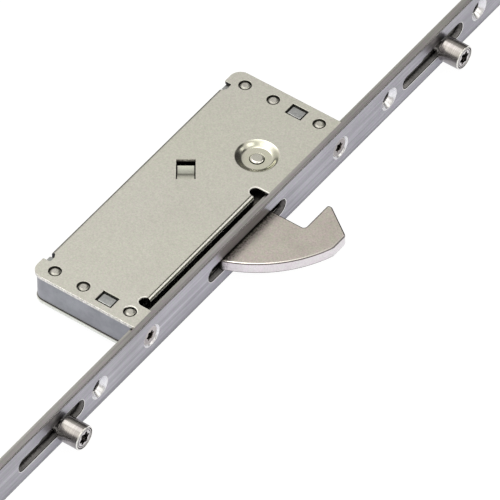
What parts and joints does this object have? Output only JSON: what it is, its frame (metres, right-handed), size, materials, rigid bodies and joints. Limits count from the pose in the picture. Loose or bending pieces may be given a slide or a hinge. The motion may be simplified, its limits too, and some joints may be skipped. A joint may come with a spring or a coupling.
{
  "type": "multipoint door lock",
  "caption": "Hook section of a multipoint door lock: a sliding rod behind a steel faceplate swings a hook out of a riveted case and carries eccentric locking rollers.",
  "frame": {"origin": "on the faceplate's rear face, on its centre line, midway between its two inner fixing holes", "axes": "+X points out of the door's edge, square to the faceplate. +Y runs along the faceplate, the way the thrown hook's beak points, which is up in a door. +Z is the outward normal of the case's cover."},
  "size_m": [0.0699, 0.342, 0.016],
  "materials": {
    "faceplate": "brushed lengthwise",
    "drive_rod": "zinc plated",
    "cover": "zinc plated, satin",
    "back_plate": "zinc plated, satin",
    "end_block": "zinc die cast, smooth",
    "rivet": "swaged, dull",
    "screw": "nickel plated, bright",
    "hook": "cast and plated, satin",
    "pin": "turned, plated",
    "washer": "plated",
    "carriage": "zinc die cast",
    "spring": "tempered, oiled",
    "roller": "turned, polished",
    "stud": "turned, plated",
    "coupling": "zinc die cast"
  },
  "bodies": {
    "lock": {"faceplate": "faceplate", "case_cover": "cover", "case_back_plate": "back_plate", "end_block_lower": "end_block", "end_block_upper": "end_block", "case_rivets_lower": "rivet", "case_rivets_upper": "rivet", "case_screw_lower": "screw", "case_screw_upper": "screw", "hook_pivot_pin": "pin", "hook_top_washer": "washer", "hook_bottom_spacer": "washer", "carriage_guide_stud": "pin", "detent_spring": "spring", "guide_stud_lower": "pin", "guide_stud_upper": "pin", "guide_washer_lower": "washer", "guide_washer_upper": "washer"},
    "rod": {"drive_rod": "drive_rod", "rod_coupling": "coupling", "coupling_rivets": "rivet", "drive_carriage": "carriage"},
    "hook": {"hook": "hook", "hook_drive_pin": "pin"},
    "stud_lower": {"roller_stud_lower": "stud"},
    "stud_upper": {"roller_stud_upper": "stud"},
    "sleeve_lower": {"roller_sleeve_lower": "roller"},
    "sleeve_upper": {"roller_sleeve_upper": "roller"}
  },
  "joints": [
    {"name": "rod_slide", "type": "slide", "parent": "lock", "child": "rod", "axis": [0, 1, 0], "range_m": [-0.01, 0], "deforming": ["detent_spring"]},
    {"name": "hook_swing", "type": "hinge", "parent": "lock", "child": "hook", "pos_m": [-0.0141, 0.0277, 0], "axis": [0, 0, 1], "range_deg": [-57, 0]},
    {"name": "stud_turn_lower", "type": "hinge", "parent": "rod", "child": "stud_lower", "pos_m": [0, -0.0989, 0], "axis": [1, 0, 0], "range_deg": [-90, 90]},
    {"name": "stud_turn_upper", "type": "hinge", "parent": "rod", "child": "stud_upper", "pos_m": [0, 0.1078, 0], "axis": [1, 0, 0], "range_deg": [-90, 90]},
    {"name": "sleeve_spin_lower", "type": "hinge", "parent": "stud_lower", "child": "sleeve_lower", "pos_m": [0, -0.0984, 0], "axis": [1, 0, 0], "continuous": true},
    {"name": "sleeve_spin_upper", "type": "hinge", "parent": "stud_upper", "child": "sleeve_upper", "pos_m": [0, 0.1083, 0], "axis": [1, 0, 0], "continuous": true}
  ],
  "couplings": [
    {"joint": "hook_swing", "follows": "rod_slide", "rad_per_m": 99.484}
  ]
}
